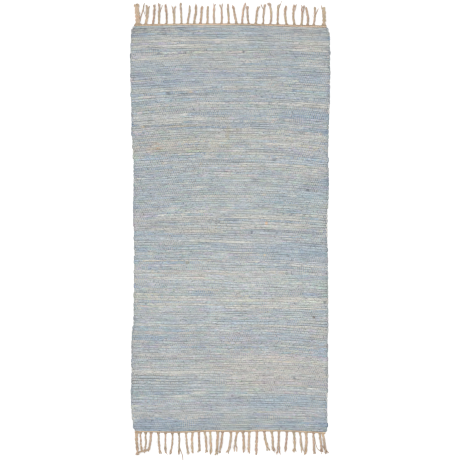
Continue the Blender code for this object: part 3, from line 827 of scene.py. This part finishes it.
def shade_edges(random, colours, across, line, rows):
    """Painted shade on the rags near the selvedges, where the strips fold round, more uneven rags there,
    and darker ones in the rows at the ends.
    """
    inward = np.minimum(line[:, 0] - across.min(axis=1)[rows], across.max(axis=1)[rows] - line[:, 0])
    # painted shade at the selvedges, where the strips fold round
    colours *= 1 - EDGE_SHADE * smooth_step(1 - inward / EDGE_SHADE_REACH)[:, None]
    colours *= 1 - END_SHADE * (np.minimum(rows, ROWS - 1 - rows) < END_ROWS)[:, None]
    grain = random.normal(0, EDGE_GRAIN, len(line)) * smooth_step(1 - inward / EDGE_GRAIN_REACH)
    colours *= 1 + np.clip(grain, *EDGE_GRAIN_LIMITS)[:, None]
    return colours


def within_patch(line, patch):
    """1 at the sections of the weft inside an oval patch of a table, 0 outside, soft between."""
    across = (line[:, 0] - patch.across * MM) / (patch.half_width * MM)
    along = (line[:, 1] - patch.along * MM) / (patch.half_length * MM)
    return smooth_step(PATCH_EDGE - np.hypot(across, along))


def lay_washes(colours, line):
    """Let the rags lean towards the dye of each broad patch of the table."""
    for wash in WASHES:
        strength = wash.strength * WASH_STRENGTH * within_patch(line, wash)
        colours += (linear(DYES[wash.dye][:3]) - colours) * strength[:, None]
    return colours


def lay_streaks(colours, line, rows, share):
    """Dye the streaks of the table, each along the rows nearest to its place."""
    for streak in STREAKS:
        middle = (streak.start + streak.end) / 2 * MM
        at_middle = np.abs(line[:, 0] - middle) < STREAK_PROBE
        gaps = np.where(at_middle, np.abs(line[:, 1] - streak.along * MM), np.inf)
        nearest = dict.fromkeys(rows[np.argsort(gaps)[:PROBED_SECTIONS]])
        dye = linear(DYES[streak.dye][:3])
        within = np.minimum(line[:, 0] - streak.start * MM, streak.end * MM - line[:, 0])
        strength = smooth_step(within / STREAK_FADE + 0.5) * streak.strength * STREAK_STRENGTH * share
        for row in list(nearest)[: streak.rows]:
            colours += (dye - colours) * (strength * (rows == row))[:, None]
    return colours


def bare_shares(line):
    """How much the warp shows through at the sections of the weft."""
    return np.max([bare.share * within_patch(line, bare) for bare in BARE_PLACES], axis=0)


def lay_spots(colours, line, rows):
    """Dye the spots of the table, each on the row nearest to its place."""
    for dye, spots in SPOTS.items():
        for across, along, length in spots:
            place = np.array([across, along]) * MM
            row = rows[np.argmin(np.linalg.norm(line - place, axis=1))]
            away = np.abs(line[:, 0] - place[0]) / (length / 2 * MM)
            strength = smooth_step(SPOT_EDGE - away) * SPOT_STRENGTH * (rows == row)
            colours += (linear(DYES[dye][:3]) - colours) * strength[:, None]
    return colours


def strip_tiles(rows):
    """Places on the map of the stretches of the weft: a band for each row, in columns."""
    sections = SECTIONS + TURN_SECTIONS
    bands = math.ceil(ROWS / MAP_COLUMNS)
    step = np.arange(len(rows) - 1)
    first = np.array([np.searchsorted(rows, row) for row in range(ROWS)])
    row = rows[:-1]
    inside = step - first[row]
    u = (row % MAP_COLUMNS + inside / sections) / MAP_COLUMNS
    v = (row // MAP_COLUMNS) / bands
    return np.column_stack([u, v, u + 1 / sections / MAP_COLUMNS, v + 1 / bands])


def strip_sizes(random, travelled, joins):
    """Half heights, heights of the middle, bulges of the corners and factors for the widths."""
    lumps = np.ones(len(travelled))
    for pair in THICKNESS_STRAYS:
        lumps += stray(random, travelled, *pair)
    lumps[joins] += JOIN_LUMP
    to_free_end = np.minimum(travelled, travelled[-1] - travelled)
    taper = FREE_END_SHARE + (1 - FREE_END_SHARE) * smooth_step(to_free_end / FREE_END_TAPER)
    heights = STRIP_HALF_HEIGHT * np.clip(lumps, *THICKNESS_LIMITS) * taper
    rises = stray(random, travelled, *HEIGHT_STRAY)
    middles = np.maximum(CLOTH_MIDDLE + rises, heights * REST_SHARE * BULGE_LIMITS[1] + FLOOR_GAP)
    wavelength, reach = BULGE_STRAY
    bulge = 1 + reach * wander(random, STRIP_CORNERS, travelled, wavelength).T
    bulge = np.clip(bulge, *BULGE_LIMITS)
    bulge[:, [0, STRIP_CORNERS // 2]] = 1.0
    widening = taper * (1 + stray(random, travelled, *WIDTH_STRAY))
    return heights, middles, bulge, widening


def make_weft(outline, finish):
    """The cloth: one long weft of joined rag strips, woven back and forth from end to end."""
    random = np.random.default_rng(SEED)
    across, along, half_widths = row_grid(outline, random)
    line, sides, widths, rows = serpentine(across, along, half_widths * STRIP_OVERLAP, random)
    travelled = travel(line)
    ground, flecks, joins = strip_colours(random, travelled)
    dyed = []
    for colours, share in ((ground, 1.0), (flecks, FLECK_STREAK_SHARE)):
        colours = fade(random, lay_washes(colours, line), travelled)
        dyed.append(lay_streaks(colours, line, rows, share))
    dyed = [lay_spots(shade_edges(random, colours, across, line, rows), line, rows) for colours in dyed]
    ground, flecks = (np.column_stack([colours, np.ones(len(line))]) for colours in dyed)
    heights, middles, bulge, widening = strip_sizes(random, travelled, joins)
    strands = Strands()
    strands.add(
        np.column_stack([line, middles]),
        sides,
        widths * widening,
        heights,
        strip_tiles(rows),
        STRIP_MAP_RIM,
        square=STRIP_SQUARENESS,
        bulge=bulge,
        ground_colour=ground,
        fleck_colour=flecks,
        along=line[:, 0],
        row=rows,
        bare=bare_shares(line),
    )
    return finished(strands, "rag_weft", finish, "rag_cloth")


# Headings and fringes


def yarn_map(count, columns):
    """Tiles of the map for a number of yarns, in columns of equal bands."""
    bands = math.ceil(count / columns)
    tiles = []
    for row, column in (divmod(i, columns) for i in range(count)):
        tiles.append((column / columns, row / bands, (column + 1) / columns, (row + 1) / bands))
    return tiles


def divided(tile, rings):
    """A yarn's tile cut into one for each stretch between its rings."""
    u0, v0, u1, v1 = tile
    cuts = np.linspace(u0, u1, rings)
    low, high = np.full(rings - 1, v0), np.full(rings - 1, v1)
    return np.column_stack([cuts[:-1], low, cuts[1:], high])


def cord_places(end):
    """Places across the rug of a cord's sections, and the values of the end's table there."""
    table = np.array(end.cords) * MM
    left, right = table[0, 0], table[-1, 0]
    x = np.linspace(left, right, int((right - left) / CORD_STEP))
    return x, *(np.interp(x, table[:, 0], table[:, i]) for i in (1, 2, 3))


def cord_strands(outline, end, x, setback, height, strand, twist):
    """Centre lines of the two strands that twine along an end."""
    y = end.outward * (outline.end(end.outward, x) - setback)
    turn = 2 * math.pi * x / twist
    lines = []
    for phase in (0, math.pi):
        across = strand * CORD_SPREAD * np.cos(turn + phase)
        rise = strand * CORD_RISE * np.sin(turn + phase)
        lines.append(np.column_stack([x, y + across, height + rise]))
    return lines


def add_yarn(strands, centres, radii, tile, corners, seed, tint):
    """Add one round yarn along the centres. The tint is a factor for its colour at each."""
    strands.add(
        centres,
        side_vectors(centres),
        radii,
        radii,
        divided(tile, len(centres)),
        np.linspace(0, 1, corners + 1),
        along=travel(centres),
        seed=np.full(len(centres), seed),
        size=np.minimum(radii / MM, 1.0),
        tint=np.column_stack([tint, np.ones(len(centres))]),
    )


def make_heading(outline, end, finish):
    """The cord of two yarns that is twined around the warp beside the last row."""
    random = np.random.default_rng(HEADING_SEED + end.outward)
    strands = Strands()
    x, setback, strand, _ = cord_places(end)
    height = np.maximum(HEADING_HEIGHT, HEADING_LIFT * strand)
    lines = cord_strands(outline, end, x, setback, height, strand, HEADING_TWIST)
    tiles = yarn_map(len(lines), 1)
    for line, tile in zip(lines, tiles):
        radii = strand.copy()
        for pair in HEADING_STRAYS:
            radii *= 1 + stray(random, line[:, 0], *pair)
        seed = random.random()
        tint = fade(random, np.ones((len(line), 3)), line[:, 0], YARN_PATCHES) * end.heading_shade
        add_yarn(strands, line, radii, tile, HEADING_CORNERS, seed, tint)
    name = f"heading_cord_{end.name}"
    return finished(strands, name, finish, f"heading_{end.name}")


def tassel_yarns(tassel, outline, outward, random):
    """Centre lines and radii of the yarns of one tassel, in its two twisted plies."""
    count = max(LEAST_YARNS, round(tassel.width * YARNS_PER_MM))
    width = tassel.width * TASSEL_FULLNESS * MM
    start = float(outline.end(outward, np.array([tassel.root * MM]))[0])
    twist = PLY_TWIST * random.uniform(*PLY_TWISTS)
    turn_start = random.uniform(0, 2 * math.pi)
    share = np.linspace(-YARN_TUCK, 1, YARN_STEPS)
    wobble = stray(random, share * tassel.reach * MM, *TASSEL_STRAY)
    radius = width / 2 / math.sqrt(count) * YARN_FULLNESS
    yarns = []
    for i in range(count):
        s = share * random.uniform(*YARN_LENGTHS)
        out = s * tassel.reach * MM
        turn = turn_start + 2 * math.pi * out / twist
        side, height = twisted_yarn(tassel, i, count, s, out, turn)
        side += random.normal(0, TIP_SPREAD) * beyond(TIP_START, s)
        side += stray(random, out, *YARN_STRAY) + wobble
        gathered = smooth_step(out / ROOT_LENGTH)
        root_side = ((i + 0.5) / count - 0.5) * max(ROOT_SPREAD, width * ROOT_FULLNESS)
        side = root_side * (1 - gathered) + side * gathered
        height = SPINE_HEIGHT * (1 - gathered) + (height + radius + 2 * FLOOR_GAP) * gathered
        radii = radius * (1 + stray(random, out, *YARN_THICKNESS_STRAY))
        radii *= 1 - YARN_TAPER * beyond(YARN_TAPER_START, s)
        sway = 4 * tassel.bow * s * (1 - s) + tassel.lean * s * (2 * s - 1)
        x = (tassel.root + sway) * MM + side
        y = outward * (start + out)
        yarns.append((np.column_stack([x, y, np.maximum(height, radii + FLOOR_GAP)]), radii))
    return yarns


def twisted_yarn(tassel, i, count, s, out, turn):
    """How far a yarn lies to the side of its tassel's middle line and above the tassel's underside,
    at places s (a share of the length) and out (in metres), where the plies have turned so far."""
    ply = i % 2
    in_ply = (count + 1 - ply) // 2
    ply_half = tassel.width * TASSEL_FULLNESS * MM / 4
    ply_out = ply_half * (PLY_OUT + PLY_OPENING * beyond(TIP_START, s))
    yarn_out = ply_half * YARN_OUT
    turn = turn + math.pi * ply
    small = 2 * math.pi * ((i // 2) / in_ply - out / YARN_TWIST)
    opened = beyond(FORK_START, s)
    side = ply_out * np.cos(turn) + yarn_out * np.cos(small)
    side *= 1 - 0.5 * min(1.0, tassel.fork / FULL_FORK) * opened
    side += (1 if ply else -1) * tassel.fork / 2 * MM * opened
    rise = ply_out * np.sin(turn) + yarn_out * np.sin(small)
    return side, (rise + ply_half + yarn_out) * FLATTENING * min(1.0, FLAT_WIDTH / tassel.width)


def stray_fibres(yarns, random):
    """Centre lines and radii of fine fibres that stand off the yarns of one tassel."""
    fibres = []
    share = np.linspace(0, 1, FIBRE_STEPS)
    places = share * (FIBRE_SPAN - 1)
    for _ in range(FIBRES_PER_TASSEL):
        line, _ = yarns[random.integers(len(yarns))]
        first = random.integers(2, len(line) - FIBRE_SPAN)
        stretch = line[first : first + FIBRE_SPAN].T
        part = np.column_stack([np.interp(places, np.arange(FIBRE_SPAN), axis) for axis in stretch])
        for _ in range(2):
            part[1:-1] = (part[:-2] + part[1:-1] * 2 + part[2:]) / 4
        off = random.normal(0, FIBRE_STAND_OFF) * np.sin(math.pi * share * random.uniform(0.5, 1))
        part[:, 0] += off + stray(random, share, *FIBRE_STRAY)
        part[:, 2] = np.maximum(part[:, 2] + random.uniform(-1, 1) * MM * share, FIBRE_RADIUS)
        fibres.append((part, np.full(FIBRE_STEPS, FIBRE_RADIUS)))
    return fibres


def wisp_yarns(wisp, outline, outward):
    """Centre lines and radii of the two yarns of a loose strand."""
    places = np.linspace(0, len(wisp.route) - 1, WISP_STEPS)
    table = [list(enumerate(column)) for column in zip(*wisp.route)]
    across, out = (MM * np.array([smooth_line(column, t) for t in places]) for column in table)
    start = outline.end(outward, across)
    radius = wisp.width * MM / 4
    radii = radius * (1 - WISP_TAPER * beyond(WISP_TAPER_START, places / places[-1]))
    turn = np.cumsum(np.hypot(np.gradient(across), np.gradient(out))) / WISP_TWIST * 2 * math.pi
    yarns = []
    for phase in (0, math.pi):
        x = across + radius * np.cos(turn + phase)
        y = outward * (start + out + radius * 0.5 * np.sin(turn + phase))
        z = radius * (WISP_RISE + np.sin(turn + phase)) + FLOOR_GAP
        yarns.append((np.column_stack([x, y, z]), radii))
    return yarns


def make_fringe(outline, end, finish):
    """A fringe: the knots along its roots, its tassels of twisted yarn and its loose strands."""
    random = np.random.default_rng(FRINGE_SEED + end.outward)
    dyeing = np.random.default_rng(YARN_DYE_SEED + end.outward)
    yarns = []
    for tassel in end.tassels:
        bundle = tassel_yarns(tassel, outline, end.outward, random)
        travelled = np.linspace(0, tassel.reach * MM, YARN_STEPS)
        tint = fade(dyeing, np.ones((YARN_STEPS, 3)), travelled, YARN_PATCHES)
        # painted shade at the roots of the tassels, where they go under the cord
        tint *= 1 - ROOT_SHADE * smooth_step(ROOT_SHADE_END - travelled / ROOT_SHADE_LENGTH)[:, None]
        yarns += [(line, radii, YARN_CORNERS, tint) for line, radii in bundle]
        plain = np.ones((FIBRE_STEPS, 3))
        yarns += [(line, radii, FIBRE_CORNERS, plain) for line, radii in stray_fibres(bundle, random)]
    for wisp in end.wisps:
        for line, radii in wisp_yarns(wisp, outline, end.outward):
            yarns.append((line, radii, YARN_CORNERS, np.ones((len(line), 3))))
    x, _, _, setback = cord_places(end)
    for line in cord_strands(outline, end, x, setback, SPINE_HEIGHT, SPINE_STRAND, SPINE_TWIST):
        radii = SPINE_STRAND * (1 + stray(random, line[:, 0], *SPINE_STRAY))
        tint = fade(dyeing, np.ones((len(line), 3)), line[:, 0], YARN_PATCHES)
        yarns.append((line, radii, SPINE_CORNERS, tint))
    strands = Strands()
    for (line, radii, corners, tint), tile in zip(yarns, yarn_map(len(yarns), YARN_MAP_COLUMNS)):
        add_yarn(strands, line, radii, tile, corners, random.random(), tint)
    name = f"fringe_yarns_{end.name}"
    return finished(strands, name, finish, f"fringe_{end.name}")


# Materials


class Nodes:
    """A material's nodes, added and linked with few words."""

    def __init__(self, name):
        self.material = bpy.data.materials.new(name)
        self.material.use_nodes = True
        self.tree = self.material.node_tree
        self.shader = self.tree.nodes["Principled BSDF"]

    def link(self, value, socket):
        """Link an output to a socket, or set the socket to a plain value."""
        if isinstance(value, bpy.types.NodeSocket):
            self.tree.links.new(value, socket)
        else:
            socket.default_value = value

    def add(self, kind, inputs, output=0, **settings):
        """Add a node with its settings and inputs. The result is one of its outputs."""
        node = self.tree.nodes.new(f"ShaderNode{kind}")
        for key, value in settings.items():
            setattr(node, key, value)
        for key, value in inputs.items():
            self.link(value, node.inputs[key])
        return node.outputs[output]

    def attribute(self, name, output="Fac"):
        """A value of the mesh."""
        return self.add("Attribute", {}, output, attribute_name=name)

    def math(self, operation, *values, clamp=False):
        """The result of a sum or the like."""
        return self.add("Math", dict(enumerate(values)), operation=operation, use_clamp=clamp)

    def vector(self, *values):
        """A vector of three values."""
        return self.add("CombineXYZ", dict(enumerate(values)))

    def noise(self, place, detail):
        """Noise of about 0 to 1, one wave to each unit of the place."""
        return self.add("TexNoise", {"Vector": place, "Scale": 1.0, "Detail": detail}, "Fac")

    def ramp(self, value, low, high, at_low=0.0, at_high=1.0):
        """A smooth change between two values as another goes from low to high."""
        inputs = {"Value": value, "From Min": low, "From Max": high, "To Min": at_low, "To Max": at_high}
        return self.add("MapRange", inputs, "Result", interpolation_type="SMOOTHSTEP")

    def mix(self, amount, first, second, blend="MIX"):
        """Two colours mixed."""
        inputs = {0: amount, 6: first, 7: second}
        return self.add("Mix", inputs, 2, data_type="RGBA", blend_type=blend)

    def scale_colour(self, colour, factor):
        """A colour made lighter or darker by a factor."""
        return self.add("VectorMath", {0: colour, "Scale": factor}, operation="SCALE")

    def cotton(self, colour, roughness, height, distance, strength):
        """The material, with its colour, roughness and bump joined up and the sheen of cotton."""
        bump = {"Strength": strength, "Distance": distance, "Height": height}
        for key, value in (
            ("Base Color", colour),
            ("Roughness", roughness),
            ("Normal", self.add("Bump", bump, "Normal")),
        ):
            self.link(value, self.shader.inputs[key])
        self.shader.inputs["Sheen Weight"].default_value = COTTON_SHEEN
        self.shader.inputs["Specular IOR Level"].default_value = COTTON_SPECULAR
        return self.material


def opaque(colour):
    """A colour of the eye's (sRGB) values as a socket takes it."""
    return (*linear(colour), 1.0)


def rag_pattern(nodes, pattern):
    """Noise in patches of a length along the strip and a width around it."""
    along = nodes.math("DIVIDE", nodes.attribute("along"), pattern.length * MM)
    row = nodes.math("MULTIPLY_ADD", nodes.attribute("row"), ROW_SHIFT, pattern.shift)
    turns = STRIP_HALF_WIDTH / (pattern.width * MM)
    across = nodes.math("MULTIPLY_ADD", nodes.attribute("across"), turns, row)
    lift = nodes.math("MULTIPLY", nodes.attribute("lift"), turns * STRIP_FLATNESS)
    return nodes.noise(nodes.vector(along, across, lift), pattern.detail)


def warp_wave(nodes, bare):
    """A wave across the rug that peaks at the warp threads, one row's between the next row's. At
    bare places all rows peak in line."""
    parity = nodes.math("MULTIPLY", nodes.attribute("row"), nodes.ramp(bare, *BARE_RANGE, 0.5, 1.0))
    past_start = nodes.math("ADD", nodes.attribute("along"), WARP_START)
    phase = nodes.math("ADD", nodes.math("DIVIDE", past_start, 2 * WARP_PITCH), parity)
    return nodes.math("COSINE", nodes.math("MULTIPLY", phase, 2 * math.pi))


def warp_dashes(nodes, bare, wave):
    """How much of the warp shows, in dashes that are worn bright in places."""
    along = nodes.math("DIVIDE", nodes.attribute("along"), WORN_LENGTH)
    row = nodes.math("DIVIDE", nodes.attribute("row"), WORN_ROWS)
    worn = nodes.noise(nodes.vector(along, row, WORN_SHIFT), 2.0)
    show = nodes.math("MAXIMUM", nodes.ramp(worn, *WORN_RANGE, LEAST_WORN, 1.0), bare)
    return nodes.math("MULTIPLY", nodes.ramp(wave, *DASH_RANGE), show)


def weave_material():
    """Faded cotton rags, flecked and creased lengthways, with hints of the warp across them, painted
    shade in the grooves between the rows and painted shade and light on the creases.
    """
    nodes = Nodes("rag_weave_look")
    patterns = {name: rag_pattern(nodes, pattern) for name, pattern in PATTERNS.items()}
    bare = nodes.attribute("bare")
    wave = warp_wave(nodes, bare)
    dash = warp_dashes(nodes, bare, wave)
    colour = nodes.mix(
        nodes.ramp(patterns["flecks"], *FLECK_RANGE),
        nodes.attribute("ground_colour", "Color"),
        nodes.attribute("fleck_colour", "Color"),
    )
    shade = 1.0
    for name, *limits in SHADING:
        shade = nodes.math("MULTIPLY", shade, nodes.ramp(patterns[name], *limits))
    # painted shade: the strips are darker towards their sides, in the grooves between the rows
    rim = nodes.math("ABSOLUTE", nodes.attribute("across"))
    shade = nodes.math("MULTIPLY", shade, nodes.ramp(rim, *GROOVE_RANGE, 1.0, 1 - PAINTED_GROOVE_SHADE))
    colour = nodes.scale_colour(colour, nodes.math("MULTIPLY", shade, RAG_ALBEDO))
    colour = nodes.mix(nodes.math("MULTIPLY", dash, WARP_SHOW), colour, opaque(WARP_COLOUR))
    height = patterns["creases"]
    for name, share in RELIEF.items():
        height = nodes.math("MULTIPLY_ADD", patterns[name], share, height)
    height = nodes.math("MULTIPLY_ADD", wave, WAVE_RELIEF, height)
    height = nodes.math("MULTIPLY_ADD", dash, DASH_RELIEF, height)
    roughness = nodes.ramp(patterns["fibres"], *RAG_ROUGHNESS)
    return nodes.cotton(colour, roughness, height, *RAG_BUMP)


def yarn_material(name, core, crest):
    """Unbleached tan cotton yarn of two plies, a little fuzzy, with painted highlights on the crests of
    its fine threads.
    """
    nodes = Nodes(name)
    along, across, lift, seed = (nodes.attribute(key) for key in ("along", "across", "lift", "seed"))
    seed = nodes.math("MULTIPLY", seed, YARN_SHIFT)

    def pattern(length, width, detail):
        """Noise in patches of a length along the yarn and a width around it."""
        turns = YARN_HALF_WIDTH / width
        place = nodes.vector(
            nodes.math("ADD", nodes.math("DIVIDE", along, length), seed),
            nodes.math("MULTIPLY", across, turns),
            nodes.math("MULTIPLY", lift, turns),
        )
        return nodes.noise(place, detail)

    angle = nodes.math("ARCTAN2", lift, across)
    twist = nodes.math("MULTIPLY", along, 2 * math.pi / YARN_LOOK_TWIST)
    ply = nodes.math("SINE", nodes.math("SUBTRACT", nodes.math("MULTIPLY", angle, 2.0), twist))
    fuzz = pattern(*FUZZ_PATTERN)
    patches = nodes.ramp(pattern(*TONE_PATTERN), *YARN_TONES)
    # painted highlight on the crests of the fine threads and painted shade between them, over light and
    # dark patches
    tone_and_highlight = nodes.math("MULTIPLY_ADD", ply, PLY_HIGHLIGHT, patches, clamp=True)
    colour = nodes.mix(tone_and_highlight, opaque(core), opaque(crest))
    tints = pattern(*TINT_PATTERN)
    for limits, tint in YARN_TINTS:
        colour = nodes.mix(nodes.ramp(tints, *limits), colour, opaque(tint))
    colour = nodes.scale_colour(colour, nodes.ramp(fuzz, *FUZZ_SHADE))
    colour = nodes.mix(1.0, colour, nodes.attribute("tint", "Color"), "MULTIPLY")
    height = nodes.math("MULTIPLY_ADD", fuzz, FUZZ_RELIEF, ply)
    height = nodes.math("MULTIPLY", height, nodes.attribute("size"))
    return nodes.cotton(colour, nodes.ramp(fuzz, *YARN_ROUGHNESS), height, *YARN_BUMP)


# Studio

FLOOR_SIZE = 12.0
FLOOR_ALBEDO = 0.97
FLOOR_ROUGHNESS = 0.9
WORLD_STRENGTH = 1.0
SUN_STRENGTH = 0.7
SUN_SPREAD = 40  # degrees
SUN_TILT = 35  # degrees from straight above
SUN_TURN = 50  # degrees from +Y towards -X
CAMERA_HEIGHT = 6.0
CAMERA_REACH = 50.0
CAMERA_PLACE = (-0.0004, -0.0036)
FRAME_WIDTH = 1.6468  # the stretch of floor that the photograph's width takes in
SENSOR = 36.0


def make_floor():
    """A plain white floor."""
    bpy.ops.mesh.primitive_plane_add(size=FLOOR_SIZE)
    floor = bpy.context.object
    floor.name = "floor"
    nodes = Nodes("studio_floor")
    nodes.shader.inputs["Base Color"].default_value = (FLOOR_ALBEDO, FLOOR_ALBEDO, FLOOR_ALBEDO, 1.0)
    nodes.shader.inputs["Roughness"].default_value = FLOOR_ROUGHNESS
    nodes.shader.inputs["Specular IOR Level"].default_value = 0.0
    floor.data.materials.append(nodes.material)


def make_light():
    """A white world and one soft sun from the far left, the same all over the rug."""
    world = bpy.data.worlds.new("studio")
    world.use_nodes = True
    background = world.node_tree.nodes["Background"]
    background.inputs["Color"].default_value = (1.0, 1.0, 1.0, 1.0)
    background.inputs["Strength"].default_value = WORLD_STRENGTH
    bpy.context.scene.world = world
    lamp = bpy.data.lights.new("key", "SUN")
    lamp.angle = math.radians(SUN_SPREAD)
    lamp.energy = SUN_STRENGTH
    key = bpy.data.objects.new("key", lamp)
    key.rotation_euler = (math.radians(-SUN_TILT), 0.0, math.radians(SUN_TURN))
    bpy.context.scene.collection.objects.link(key)


def make_camera():
    """A camera straight above the rug, as the photograph was taken."""
    data = bpy.data.cameras.new("camera")
    data.sensor_width = SENSOR
    data.lens = SENSOR * CAMERA_HEIGHT / FRAME_WIDTH
    data.clip_end = CAMERA_REACH
    camera = bpy.data.objects.new("camera", data)
    camera.location = (*CAMERA_PLACE, CAMERA_HEIGHT)
    bpy.context.scene.collection.objects.link(camera)
    bpy.context.scene.camera = camera


def make_rug():
    """The whole rug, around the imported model."""
    outline = Outline()
    weft = make_weft(outline, weave_material())
    cord_look = yarn_material("heading_look", HEADING_COLOUR, HEADING_CREST_COLOUR)
    yarn_look = yarn_material("fringe_look", YARN_COLOUR, YARN_CREST_COLOUR)
    for end in ENDS:
        make_heading(outline, end, cord_look)
        make_fringe(outline, end, yarn_look)


make_floor()
make_light()
make_camera()
make_rug()

scene = bpy.context.scene
scene.view_settings.view_transform = "Standard"
scene.view_settings.look = "None"
scene.cycles.filter_width = 1.0  # pixels, for rows as crisp as in the photograph
